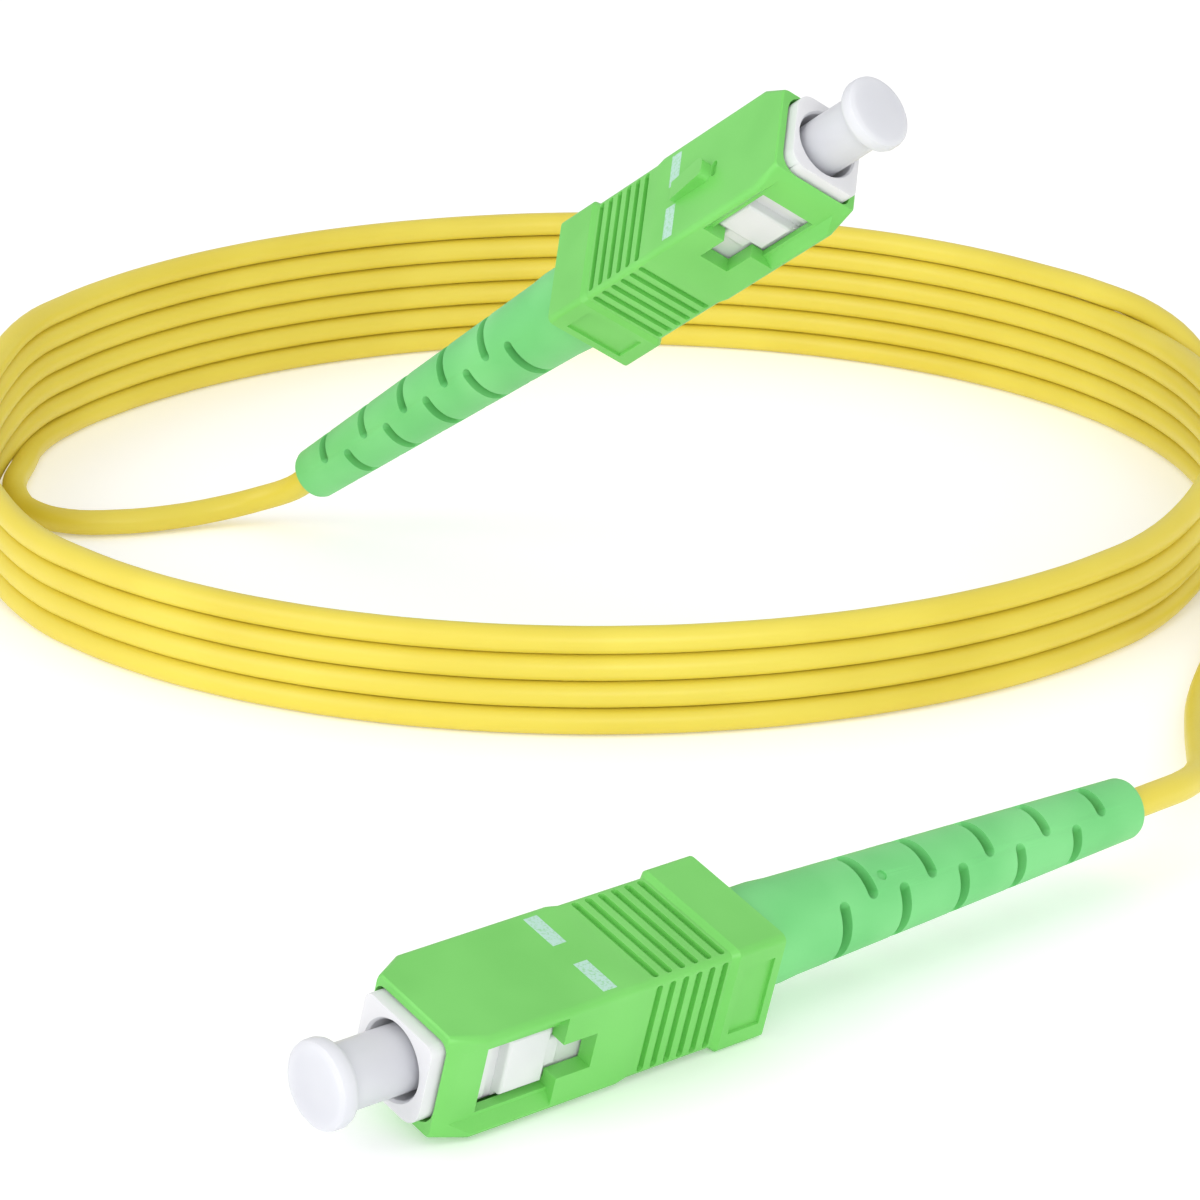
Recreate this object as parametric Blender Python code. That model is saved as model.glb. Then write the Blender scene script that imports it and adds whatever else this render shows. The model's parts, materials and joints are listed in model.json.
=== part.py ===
"""Fibre optic patch cord: two square push-pull connectors on one coiled simplex cord.

Each connector is modelled along its own X axis: the origin is the centre of the outer housing's
front face, +X points out of the plug, +Z is the key side. Lengths below are millimetres, turned to
metres where a mesh is made. An empty for each connector holds the finished pieces where they lie.
"""
import math

import bmesh
import bpy
from mathutils import Matrix, Vector

MM = 0.001

# ---- places on the surface (mm, degrees) ---------------------------------------------------------
COIL_CENTRE = (-5.876, 62.676)
# boot tail from the coil's centre, heading and rise of the plug, roll about its axis, key side up
CONNECTORS = {
    "a": {"tail": (-22.2, -4.9, 5.0), "heading": -40.2, "rise": 34.5, "roll": -48.1, "key_up": True},
    "b": {"tail": (34.2, -76.5, 4.944), "heading": 220.9, "rise": 0.0, "roll": 17.1, "key_up": False},
}

# ---- cord ----------------------------------------------------------------------------------------
CORD_DIAMETER = 2.0
COIL_RADIUS = 49.6            # to the middle of a strand
COIL_STRANDS_HIGH = 6
MEETING_GAP = 0.3             # between a lead's end and what it meets
LEAD_POINT_STEP = 4.5         # along the route
# routes from the coil's centre; each starts behind its boot's tail
LEAD_A_ROUTE = ((-24.0, -3.4, 3.4), (-26.6, -2.3, 2.2), (-29.8, -2.4, 1.4), (-33.6, -3.7, 1.1),
                (-37.8, -4.8, 1.05), (-41.8, -4.6, 1.05), (-44.8, -2.2, 1.05), (-46.4, 1.6, 1.05),
                (-47.0, 5.4, 1.05))
LEAD_B_ROUTE = ((36.4, -74.4, 4.9), (38.8, -71.3, 4.6), (40.3, -66.8, 3.9), (41.0, -61.0, 2.9),
                (41.6, -55.0, 2.0), (42.8, -46.0, 1.25), (45.2, -36.0, 1.05), (48.4, -25.0, 1.05),
                (51.0, -14.0, 1.05), (52.0, -4.0, 1.05))

# ---- outer housing -------------------------------------------------------------------------------
HOUSING_LENGTH = 25.0
HOUSING_HALF_WIDTH = 4.5
HOUSING_HALF_HEIGHT = 3.7
HOUSING_EDGE = 0.35
NOSE_CHAMFER = (2.2, 1.1)     # along the axis, across the width
GRIP_START = 15.0             # behind the front face
GRIP_PITCH = 1.04
GRIP_GROOVES = 6
GRIP_GROOVE_WIDTH = 0.5
GRIP_GROOVE_DEPTH = 0.38
GRIP_GROOVE_HALF = (3.95, 3.2)       # half length on the wide faces, on the narrow faces
GRIP_WAIST = 0.12
REAR_FLARE = 0.15
TUNNEL_HALF = (3.35, 3.1)     # width, height
REAR_BORE_RADIUS = 3.45
REAR_BORE_DEPTH = 3.0
SIDE_RECESS = (8.2, 2.75, 0.65)      # length, half height, depth
WIDE_WINDOW = (2.8, 8.2, 2.45)       # from, to, half height
NARROW_WINDOW = (8.1, 10.8, 1.25)
KEY = (7.4, 11.4, 0.8, 0.9)          # from, to, half width, height

# ---- plug frame and what it holds ------------------------------------------------------------------
FRAME_FRONT = 0.9
FRAME_REAR = -19.0
FRAME_HALF = (3.15, 2.95)
FRAME_CORNER = 0.8
FRAME_BORE_RADIUS = 2.45
SHOULDER = (-6.0, -7.2, 1.6)         # front, back, hole radius
LATCH_VALLEY = (-3.9, -4.8, 0.38)    # front, back, depth
LATCH_PAD = (-4.8, -8.0, 0.45)       # front, back, height
FERRULE_RADIUS = 1.25
FERRULE_TIP = 1.9
FERRULE_LENGTH = 10.5
FIBRE_RADIUS = 0.0625
FIBRE_HOLE_RADIUS = 0.13
SPRING = {"front": -10.95, "back": -15.95, "mean_radius": 1.8, "wire": 0.24, "turns": 5}

# ---- boot ------------------------------------------------------------------------------------------
BOOT_FRONT = -24.2
BOOT_TAIL = -60.0
BOOT_RADII = (3.25, 2.05)            # big end, tail
BOOT_BORE_RADIUS = 1.3
SLOT_STATIONS = 10
SLOT_FIRST = -32.0
SLOT_PITCH = 2.62
SLOT_WIDTH = 0.85
SLOT_ARC = 118.0

# ---- finishes: colour, roughness, metallic -----------------------------------------------------------
FINISHES = {
    "green_plastic": ((0.20, 0.64, 0.15), 0.38, 0.0),
    "mint_rubber": ((0.13, 0.62, 0.21), 0.55, 0.0),
    "white_plastic": ((0.84, 0.84, 0.85), 0.35, 0.0),
    "milky_plastic": ((0.80, 0.80, 0.83), 0.45, 0.0),
    "zirconia": ((0.88, 0.87, 0.84), 0.15, 0.0),
    "silica": ((0.75, 0.85, 0.90), 0.05, 0.0),
    "nickel": ((0.66, 0.64, 0.60), 0.25, 1.0),
    "spring_steel": ((0.60, 0.60, 0.60), 0.28, 1.0),
    "aramid": ((0.85, 0.68, 0.22), 0.80, 0.0),
    "clear_tube": ((0.85, 0.85, 0.85), 0.30, 0.0),
    "buffer": ((0.92, 0.92, 0.90), 0.40, 0.0),
    "yellow_jacket": ((0.90, 0.76, 0.08), 0.42, 0.0),
}

ROUND_STEPS = 24
SMALL_STEPS = 16


# ---- helpers -----------------------------------------------------------------------------------------
def clear_scene():
    """Remove every object, so the script can be run again in an open file."""
    for obj in list(bpy.data.objects):
        bpy.data.objects.remove(obj, do_unlink=True)


def finish(name):
    """Return the Principled material of one finish, made on first use."""
    found = bpy.data.materials.get(name)
    if found:
        return found
    colour, roughness, metallic = FINISHES[name]
    material = bpy.data.materials.new(name)
    material.use_nodes = True
    shader = material.node_tree.nodes["Principled BSDF"]
    shader.inputs["Base Color"].default_value = (*colour, 1.0)
    shader.inputs["Roughness"].default_value = roughness
    shader.inputs["Metallic"].default_value = metallic
    return material


def to_mesh(name, shape, smooth=True):
    """Write a bmesh in millimetres to a mesh in metres."""
    bmesh.ops.recalc_face_normals(shape, faces=shape.faces)
    bmesh.ops.scale(shape, vec=(MM, MM, MM), verts=shape.verts)
    mesh = bpy.data.meshes.new(name)
    shape.to_mesh(mesh)
    shape.free()
    if smooth:
        mesh.shade_smooth()
        mesh.set_sharp_from_angle(angle=math.radians(35))
    return mesh


def place(name, data, parent, look=None):
    """Link one object under a connector's empty."""
    obj = bpy.data.objects.new(name, data)
    bpy.context.collection.objects.link(obj)
    obj.parent = parent
    if look:
        data.materials.clear()
        data.materials.append(finish(look))
    return obj


def turned(outline, steps=ROUND_STEPS, closed=True):
    """Turn an outline of (x, radius) points about the X axis."""
    shape = bmesh.new()
    verts = [shape.verts.new((x, 0.0, radius)) for x, radius in outline]
    edges = [shape.edges.new(pair) for pair in zip(verts, verts[1:])]
    if closed:
        edges.append(shape.edges.new((verts[-1], verts[0])))
    bmesh.ops.spin(shape, geom=verts + edges, cent=(0, 0, 0), axis=(1, 0, 0),
                   angle=math.tau, steps=steps, use_duplicate=False)
    bmesh.ops.remove_doubles(shape, verts=shape.verts, dist=1e-4)
    return shape


def rounded_rectangle(half_y, half_z, radius, corner_points=3):
    """Return the (y, z) points of a rectangle with round corners."""
    points = []
    for corner, (side_y, side_z) in enumerate(((1, 1), (-1, 1), (-1, -1), (1, -1))):
        centre_y = side_y * (half_y - radius)
        centre_z = side_z * (half_z - radius)
        for step in range(corner_points):
            angle = math.radians(90 * corner + 90 * step / (corner_points - 1))
            points.append((centre_y + radius * math.cos(angle), centre_z + radius * math.sin(angle)))
    return points


def lofted(stations, corner_points=3):
    """Skin round-cornered rectangles at stations (x, half_y, half_z, radius) along X."""
    shape = bmesh.new()
    loops = [[shape.verts.new((x, y, z)) for y, z in rounded_rectangle(half_y, half_z, radius, corner_points)]
             for x, half_y, half_z, radius in stations]
    for front, back in zip(loops, loops[1:]):
        for index in range(len(front)):
            following = (index + 1) % len(front)
            shape.faces.new((front[index], front[following], back[following], back[index]))
    shape.faces.new(loops[0])
    shape.faces.new(loops[-1])
    return shape


def boxes(extents, edge=0.0):
    """Make one shape of separate boxes, each ((x0, x1), (y0, y1), (z0, z1))."""
    shape = bmesh.new()
    for spans in extents:
        size = [high - low for low, high in spans]
        middle = [(high + low) / 2 for low, high in spans]
        matrix = Matrix.Translation(middle) @ Matrix.Diagonal((*size, 1.0))
        bmesh.ops.create_cube(shape, size=1.0, matrix=matrix)
    if edge:
        bmesh.ops.bevel(shape, geom=shape.edges[:], offset=edge, segments=2, profile=0.5, affect="EDGES")
    return shape


def both_sides(x_span, y_span, z_span):
    """Return one box on the +Y side and its twin on the -Y side."""
    low, high = y_span
    return [(x_span, (low, high), z_span), (x_span, (-high, -low), z_span)]


def apply_tool(target, mesh, operation="DIFFERENCE"):
    """Cut a mesh from a piece, or join it on, through a Boolean with a hidden tool object."""
    tool = bpy.data.objects.new(f"tool_{target.name}_{len(target.modifiers)}", mesh)
    bpy.context.collection.objects.link(tool)
    tool.parent = target.parent
    tool.hide_render = True
    tool.display_type = "WIRE"
    modifier = target.modifiers.new(f"{operation.lower()}_{len(target.modifiers)}", "BOOLEAN")
    modifier.operation = operation
    modifier.solver = "EXACT"
    modifier.object = tool


# ---- outer housing -------------------------------------------------------------------------------------
def housing_stations():
    """Outline of the housing along its axis: chamfered nose, slight waist, flared rear block."""
    width, height = HOUSING_HALF_WIDTH, HOUSING_HALF_HEIGHT
    chamfer_length, chamfer_width = NOSE_CHAMFER
    stations = [(0.0, width - chamfer_width - 0.1, height - 0.2, HOUSING_EDGE),
                (-0.2, width - chamfer_width, height, HOUSING_EDGE),
                (-chamfer_length, width, height, HOUSING_EDGE),
                (-GRIP_START + 0.9, width, height, HOUSING_EDGE)]
    block_start = -GRIP_START - GRIP_GROOVES * GRIP_PITCH
    waist = (width - GRIP_WAIST, height - GRIP_WAIST, HOUSING_EDGE)
    stations += [(-GRIP_START, *waist), (block_start + GRIP_PITCH - GRIP_GROOVE_WIDTH, *waist)]
    flare_y, flare_z = width + REAR_FLARE, height + REAR_FLARE
    stations += [(block_start, flare_y, flare_z, HOUSING_EDGE),
                 (-HOUSING_LENGTH + 0.2, flare_y, flare_z, HOUSING_EDGE),
                 (-HOUSING_LENGTH, flare_y - 0.2, flare_z - 0.2, HOUSING_EDGE)]
    return stations


def grip_grooves():
    """Boxes for the finger grooves: six on each of the four faces, closed at the corners."""
    wide_face = HOUSING_HALF_HEIGHT - GRIP_WAIST - GRIP_GROOVE_DEPTH
    narrow_face = HOUSING_HALF_WIDTH - GRIP_WAIST - GRIP_GROOVE_DEPTH
    along_wide, along_narrow = GRIP_GROOVE_HALF
    extents = []
    for groove in range(GRIP_GROOVES):
        start = -GRIP_START - groove * GRIP_PITCH
        x_span = (start - GRIP_GROOVE_WIDTH, start)
        extents += both_sides(x_span, (narrow_face, narrow_face + 1), (-along_narrow, along_narrow))
        extents += [(x_span, (-along_wide, along_wide), (wide_face, wide_face + 1)),
                    (x_span, (-along_wide, along_wide), (-wide_face - 1, -wide_face))]
    return boxes(extents)


def make_outer_housing(suffix, parent):
    """Sliding green sleeve with its key, side recesses and latch windows."""
    mesh = to_mesh("outer_housing", lofted(housing_stations()), smooth=False)
    housing = place(f"outer_housing_{suffix}", mesh, parent, "green_plastic")
    key_from, key_to, key_half, key_height = KEY
    top = HOUSING_HALF_HEIGHT
    key = boxes([((-key_to, -key_from), (-key_half, key_half), (top - 0.3, top + key_height))], edge=0.18)
    for vert in key.verts:
        if vert.co.x < -key_to + 0.3 and vert.co.z > top:
            vert.co.z -= key_height * 0.55
    apply_tool(housing, to_mesh("key", key, smooth=False), "UNION")
    tunnel = lofted([(1.0, *TUNNEL_HALF, 0.9), (-HOUSING_LENGTH + REAR_BORE_DEPTH - 0.4, *TUNNEL_HALF, 0.9)])
    apply_tool(housing, to_mesh("tunnel", tunnel, smooth=False))
    bore_front = -HOUSING_LENGTH + REAR_BORE_DEPTH
    bore = turned([(bore_front, 0), (bore_front, REAR_BORE_RADIUS),
                   (-HOUSING_LENGTH - 1, REAR_BORE_RADIUS), (-HOUSING_LENGTH - 1, 0)], closed=False)
    apply_tool(housing, to_mesh("rear_bore", bore, smooth=False))
    apply_tool(housing, to_mesh("grip_grooves", grip_grooves(), smooth=False))
    length, half, depth = SIDE_RECESS
    floor = HOUSING_HALF_WIDTH - depth
    recess = boxes(both_sides((-length, 1.0), (floor, floor + 3), (-half, half)))
    apply_tool(housing, to_mesh("side_recess", recess, smooth=False))
    for name, (front, back, half) in (("wide_window", WIDE_WINDOW), ("narrow_window", NARROW_WINDOW)):
        window = boxes(both_sides((-back, -front), (2.2, 6.5), (-half, half)))
        apply_tool(housing, to_mesh(name, window, smooth=False))


# ---- plug frame --------------------------------------------------------------------------------------------
def make_plug_frame(suffix, parent):
    """White inner body: square outside with latch shoulders, stepped bore inside."""
    half_y, half_z = FRAME_HALF
    body = lofted([(FRAME_FRONT, half_y - 0.2, half_z - 0.2, FRAME_CORNER),
                   (FRAME_FRONT - 0.2, half_y, half_z, FRAME_CORNER),
                   (FRAME_REAR, half_y, half_z, FRAME_CORNER)], corner_points=5)
    frame = place(f"plug_frame_{suffix}", to_mesh("plug_frame", body, smooth=False), parent, "white_plastic")
    front, back, hole = SHOULDER
    radius = FRAME_BORE_RADIUS
    bore = turned([(FRAME_FRONT + 1, 0), (FRAME_FRONT + 1, radius), (front, radius), (front, hole),
                   (back, hole), (back, radius), (FRAME_REAR - 1, radius), (FRAME_REAR - 1, 0)], closed=False)
    apply_tool(frame, to_mesh("plug_bore", bore, smooth=False))
    front, back, depth = LATCH_VALLEY
    valley = boxes(both_sides((back, front), (half_y - depth, half_y + 1), (-half_z - 1, half_z + 1)))
    apply_tool(frame, to_mesh("latch_valley", valley, smooth=False))
    front, back, height = LATCH_PAD
    pad = boxes(both_sides((back, front), (half_y - 0.3, half_y + height), (-2.0, 2.0)), edge=0.12)
    apply_tool(frame, to_mesh("latch_pad", pad, smooth=False), "UNION")


# ---- ferrule group -----------------------------------------------------------------------------------------
def make_ferrule_group(suffix, parent):
    """Ceramic ferrule, its glass fibre, metal flange and buffered fibre."""
    tip, rear, radius = FERRULE_TIP, FERRULE_TIP - FERRULE_LENGTH, FERRULE_RADIUS
    ferrule = turned([(tip, FIBRE_HOLE_RADIUS), (tip, radius - 0.35), (tip - 0.6, radius), (rear, radius),
                      (rear, 0.55), (rear + 0.9, FIBRE_HOLE_RADIUS)], SMALL_STEPS)
    place(f"ferrule_{suffix}", to_mesh("ferrule", ferrule), parent, "zirconia")
    fibre = turned([(tip, 0), (tip, FIBRE_RADIUS), (rear + 0.4, FIBRE_RADIUS), (rear + 0.4, 0)], 8, closed=False)
    place(f"glass_fibre_{suffix}", to_mesh("glass_fibre", fibre), parent, "silica")
    flange = turned([(-7.5, 1.32), (-7.5, 2.0), (-7.7, 2.2), (-10.4, 2.2), (-10.4, 1.1), (-13.0, 1.1),
                     (-13.0, 0.6), (-9.0, 0.6), (-9.0, 1.32)], SMALL_STEPS)
    place(f"ferrule_flange_{suffix}", to_mesh("ferrule_flange", flange), parent, "nickel")
    buffered = turned([(-8.95, 0), (-8.95, 0.45), (-57.2, 0.45), (-57.2, 0)], 10, closed=False)
    place(f"buffered_fibre_{suffix}", to_mesh("buffered_fibre", buffered), parent, "buffer")


def make_spring(suffix, parent):
    """Compression spring: a round wire wound on a helix about the plug's axis."""
    points_per_turn = 12
    count = SPRING["turns"] * points_per_turn
    curve = bpy.data.curves.new("ferrule_spring", "CURVE")
    curve.dimensions = "3D"
    curve.bevel_depth = SPRING["wire"] * MM
    curve.bevel_resolution = 1
    curve.use_fill_caps = True
    spline = curve.splines.new("POLY")
    spline.points.add(count)
    for index, point in enumerate(spline.points):
        angle = math.tau * index / points_per_turn
        x = SPRING["front"] + (SPRING["back"] - SPRING["front"]) * index / count
        y = SPRING["mean_radius"] * math.cos(angle)
        z = SPRING["mean_radius"] * math.sin(angle)
        point.co = (x * MM, y * MM, z * MM, 1.0)
    place(f"ferrule_spring_{suffix}", curve, parent, "spring_steel")


# ---- rear body, crimp and boot -------------------------------------------------------------------------------
def make_rear_body(suffix, parent):
    """Stop ring, fibre guide tube, aramid yarn, crimp ring and the jacket's end."""
    stop = turned([(-16.5, 1.35), (-16.5, 2.25), (-16.7, 2.35), (-19.3, 2.35), (-19.3, 2.9), (-20.3, 2.9),
                   (-20.3, 2.0), (-27.0, 2.0), (-27.0, 1.35)])
    place(f"stop_ring_{suffix}", to_mesh("stop_ring", stop), parent, "nickel")
    guide = turned([(-14.6, 0.6), (-14.6, 0.85), (-28.4, 0.85), (-28.4, 0.6)], SMALL_STEPS)
    place(f"guide_tube_{suffix}", to_mesh("guide_tube", guide), parent, "clear_tube")
    yarn = turned([(-21.0, 2.06), (-21.0, 2.16), (-27.4, 2.16), (-28.3, 1.5), (-28.3, 1.36), (-27.35, 2.06)])
    place(f"aramid_yarn_{suffix}", to_mesh("aramid_yarn", yarn), parent, "aramid")
    crimp = turned([(-20.7, 2.24), (-20.7, 2.6), (-27.8, 2.6), (-28.7, 1.5), (-32.4, 1.5), (-32.4, 1.08),
                    (-28.9, 1.08), (-28.5, 1.5), (-27.6, 2.24)])
    place(f"crimp_ring_{suffix}", to_mesh("crimp_ring", crimp), parent, "nickel")
    jacket_radius = CORD_DIAMETER / 2
    jacket = turned([(-28.9, 0.55), (-28.9, jacket_radius), (BOOT_TAIL + 1.3, jacket_radius),
                     (BOOT_TAIL + 1.3, 0.55)], SMALL_STEPS)
    place(f"jacket_end_{suffix}", to_mesh("jacket_end", jacket), parent, "yellow_jacket")


def slot_cutters():
    """Arc-shaped cutters, two to a station, each station turned a quarter from the last."""
    shape = bmesh.new()
    arc_steps = 4
    for station in range(SLOT_STATIONS):
        front = SLOT_FIRST - station * SLOT_PITCH
        for side in (0, 180):
            middle = math.radians(90 * (station % 2) + side)
            spread = math.radians(SLOT_ARC)
            section = []
            for radius, order in ((0.7, range(arc_steps + 1)), (4.5, range(arc_steps, -1, -1))):
                for step in order:
                    angle = middle + spread * (step / arc_steps - 0.5)
                    section.append((radius * math.cos(angle), radius * math.sin(angle)))
            verts = [shape.verts.new((front, y, z)) for y, z in section]
            face = shape.faces.new(verts)
            pushed = bmesh.ops.extrude_face_region(shape, geom=[face])
            moved = [item for item in pushed["geom"] if isinstance(item, bmesh.types.BMVert)]
            bmesh.ops.translate(shape, vec=(-SLOT_WIDTH, 0, 0), verts=moved)
    return shape


def make_boot(suffix, parent):
    """Tapered strain relief with slots that let it bend."""
    big, tail = BOOT_RADII
    outline = [(BOOT_FRONT, big), (-28.0, big), (-29.5, big - 0.12), (BOOT_TAIL + 0.35, tail),
               (BOOT_TAIL, tail - 0.35), (BOOT_TAIL, BOOT_BORE_RADIUS), (-35.0, BOOT_BORE_RADIUS),
               (-33.4, 1.7), (-29.6, 1.7), (-28.4, 2.8), (BOOT_FRONT, 2.8)]
    boot = place(f"boot_{suffix}", to_mesh("boot", turned(outline), smooth=False), parent, "mint_rubber")
    apply_tool(boot, to_mesh("slots", slot_cutters(), smooth=False))


def make_dust_cap(suffix, parent):
    """Milky cap: a sleeve over the ferrule with a round grip at its end."""
    outline = [(6.5, 0), (6.5, 2.55), (6.3, 2.75), (5.5, 2.75), (5.2, 2.5), (5.0, 2.05), (-4.6, 2.05),
               (-4.8, 1.9), (-4.8, 1.42), (3.0, 1.42), (3.6, 0)]
    place(f"dust_cap_{suffix}", to_mesh("dust_cap", turned(outline, closed=False)), parent, "milky_plastic")


# ---- cord --------------------------------------------------------------------------------------------------
def smooth_points(route, step):
    """Read points every step along a Catmull-Rom curve through the route."""
    knots = [Vector(point) for point in route]
    padded = [2 * knots[0] - knots[1], *knots, 2 * knots[-1] - knots[-2]]
    dense = []
    for before, start, end, after in zip(padded, padded[1:], padded[2:], padded[3:]):
        for part in range(24):
            t = part / 24
            dense.append(0.5 * (2 * start + (end - before) * t + (2 * before - 5 * start + 4 * end - after) * t**2
                                + (3 * start - before - 3 * end + after) * t**3))
    dense.append(knots[-1])
    lengths = [0.0]
    for first, second in zip(dense, dense[1:]):
        lengths.append(lengths[-1] + (second - first).length)
    count = max(2, round(lengths[-1] / step))
    points, index = [], 0
    for number in range(count + 1):
        target = lengths[-1] * number / count
        while index < len(dense) - 2 and lengths[index + 1] < target:
            index += 1
        share = (target - lengths[index]) / (lengths[index + 1] - lengths[index])
        points.append(dense[index].lerp(dense[index + 1], share))
    return points


def make_lead(name, connector, route):
    """Tube of cord from inside a boot's tail to the coil."""
    start = [connector.matrix_world @ Vector((x * MM, 0, 0)) / MM
             for x in (BOOT_TAIL + 1.3 - MEETING_GAP, BOOT_TAIL - 0.9)]
    centre = Vector((*COIL_CENTRE, 0.0))
    points = smooth_points([*start, *(Vector(point) + centre for point in route)], LEAD_POINT_STEP)
    curve = bpy.data.curves.new(name, "CURVE")
    curve.dimensions = "3D"
    curve.bevel_depth = CORD_DIAMETER / 2 * MM
    curve.bevel_resolution = 2
    curve.use_fill_caps = True
    spline = curve.splines.new("POLY")
    spline.points.add(len(points) - 1)
    for spline_point, place_mm in zip(spline.points, points):
        spline_point.co = (*(place_mm * MM), 1.0)
    place(name, curve, None, "yellow_jacket")


def make_coil():
    """Outer shape of the coiled turns: a round wall as high as the stacked strands."""
    radius, height = CORD_DIAMETER / 2, COIL_STRANDS_HIGH * CORD_DIAMETER
    inner, outer = COIL_RADIUS - radius, COIL_RADIUS + radius
    shape = bmesh.new()
    outline = [(inner, 0.0), (outer, 0.0), (outer, height), (inner, height)]
    verts = [shape.verts.new((across, 0.0, up)) for across, up in outline]
    edges = [shape.edges.new(pair) for pair in zip(verts, verts[1:] + verts[:1])]
    bmesh.ops.spin(shape, geom=verts + edges, cent=(0, 0, 0), axis=(0, 0, 1), angle=math.tau, steps=72)
    bmesh.ops.remove_doubles(shape, verts=shape.verts, dist=1e-4)
    coil = place("cord_coil", to_mesh("cord_coil", shape), None, "yellow_jacket")
    coil.location = (COIL_CENTRE[0] * MM, COIL_CENTRE[1] * MM, 0.0)


# ---- assembly ----------------------------------------------------------------------------------------------
def make_connector_frame(suffix, tail, heading, rise, roll, key_up):
    """Place the empty that holds one connector, from its tail's place and its three angles."""
    heading, rise, roll = (math.radians(angle) for angle in (heading, rise, roll))
    forward = Vector((math.cos(rise) * math.cos(heading), math.cos(rise) * math.sin(heading), math.sin(rise)))
    side = Vector((0, 0, 1)).cross(forward).normalized()
    up = forward.cross(side)
    key = up * math.cos(roll) + side * math.sin(roll)
    if not key_up:
        key = -key
    across = key.cross(forward)
    rotation = Matrix((forward, across, key)).transposed().to_4x4()
    front = Vector(tail) + Vector((*COIL_CENTRE, 0.0)) - BOOT_TAIL * forward
    empty = bpy.data.objects.new(f"connector_{suffix}", None)
    bpy.context.collection.objects.link(empty)
    empty.matrix_world = Matrix.Translation(front * MM) @ rotation
    bpy.context.view_layer.update()
    return empty


def main():
    """Build both connectors and the cord between them."""
    clear_scene()
    frames = {}
    for suffix, pose in CONNECTORS.items():
        connector = make_connector_frame(suffix, **pose)
        frames[suffix] = connector
        make_outer_housing(suffix, connector)
        make_plug_frame(suffix, connector)
        make_ferrule_group(suffix, connector)
        make_spring(suffix, connector)
        make_rear_body(suffix, connector)
        make_boot(suffix, connector)
        make_dust_cap(suffix, connector)
    make_lead("cord_lead_a", frames["a"], LEAD_A_ROUTE)
    make_lead("cord_lead_b", frames["b"], LEAD_B_ROUTE)
    make_coil()


main()
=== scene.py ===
"""Looks of a coiled fibre optic patch cord with a square push-pull plug on each end.

Every plug piece is modelled along its own X axis, with the front face of the outer housing at the
origin, +X out of the plug and +Z the key side, and is then laid where the frame's plug is. Lengths in the
classes are millimetres and angles are degrees.
"""
import json
import logging
import math
from collections.abc import Callable, Iterator, Sequence
from contextlib import contextmanager
from dataclasses import dataclass
from enum import Enum

import bmesh
import bpy
from mathutils import Matrix, Vector


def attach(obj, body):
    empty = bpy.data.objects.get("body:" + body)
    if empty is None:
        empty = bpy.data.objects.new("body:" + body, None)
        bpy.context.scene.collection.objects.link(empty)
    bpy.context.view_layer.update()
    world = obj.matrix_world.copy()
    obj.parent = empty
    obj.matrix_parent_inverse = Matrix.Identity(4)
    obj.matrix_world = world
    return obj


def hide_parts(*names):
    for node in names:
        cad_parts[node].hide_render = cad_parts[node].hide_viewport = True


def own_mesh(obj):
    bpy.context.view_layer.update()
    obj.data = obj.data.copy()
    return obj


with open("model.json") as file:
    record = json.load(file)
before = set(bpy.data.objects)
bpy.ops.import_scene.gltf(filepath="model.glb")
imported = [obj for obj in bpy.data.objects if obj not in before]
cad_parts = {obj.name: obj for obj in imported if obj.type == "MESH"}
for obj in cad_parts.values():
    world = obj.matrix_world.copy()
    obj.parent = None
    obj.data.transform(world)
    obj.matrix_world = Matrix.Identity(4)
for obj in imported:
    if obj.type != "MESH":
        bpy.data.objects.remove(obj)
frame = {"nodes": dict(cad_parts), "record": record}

MM = 0.001
COIL_CENTRE = Vector((-5.876, 62.676, 0.0))
log = logging.getLogger("patch_cord")


class Plug(Enum):
    """The two ends of the cord."""

    REAR = "a"
    FRONT = "b"


# ---- shader helpers ----------------------------------------------------------------------------------
def linear(code: str) -> tuple[float, float, float, float]:
    """Turn an sRGB hex colour to linear.

    Args:
        code: Six hex digits.

    Returns:
        Linear red, green, blue and an alpha of 1.
    """
    channels = [int(code[start:start + 2], 16) / 255 for start in (0, 2, 4)]
    red, green, blue = (c / 12.92 if c <= 0.04045 else ((c + 0.055) / 1.055) ** 2.4 for c in channels)
    return red, green, blue, 1.0


def add_node(tree: bpy.types.NodeTree, kind: str, settings: dict | None = None,
             links: dict | None = None) -> bpy.types.Node:
    """Add a shader node with its settings and links.

    Args:
        tree: The material's node tree.
        kind: Blender's type name of the node.
        settings: Values by property name or by input socket, and a ramp's (position, colour) as "stops".
        links: Output sockets by the input socket that they feed.

    Returns:
        The new node.
    """
    node = tree.nodes.new(kind)
    for key, value in (settings or {}).items():
        if key == "stops":
            for stop, (position, colour) in zip(node.color_ramp.elements, value):
                stop.position, stop.color = position, colour
        elif hasattr(node, key):
            setattr(node, key, value)
        else:
            node.inputs[key].default_value = value
    for socket, source in (links or {}).items():
        tree.links.new(source, node.inputs[socket])
    return node


def start_material(name: str) -> tuple[bpy.types.Material, bpy.types.NodeTree, bpy.types.Node]:
    """Make a material with a plain Principled shader.

    Args:
        name: The material's name.

    Returns:
        The material, its tree and its shader.
    """
    material = bpy.data.materials.new(name)
    material.use_nodes = True
    tree = material.node_tree
    return material, tree, tree.nodes["Principled BSDF"]


def set_shader(shader: bpy.types.Node, **values: float | tuple) -> None:
    """Set constant values on a shader's own sockets.

    Args:
        shader: The Principled shader.
        **values: Values by socket name, with underscores for spaces.
    """
    for key, value in values.items():
        shader.inputs[key.replace("_", " ")].default_value = value


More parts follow.
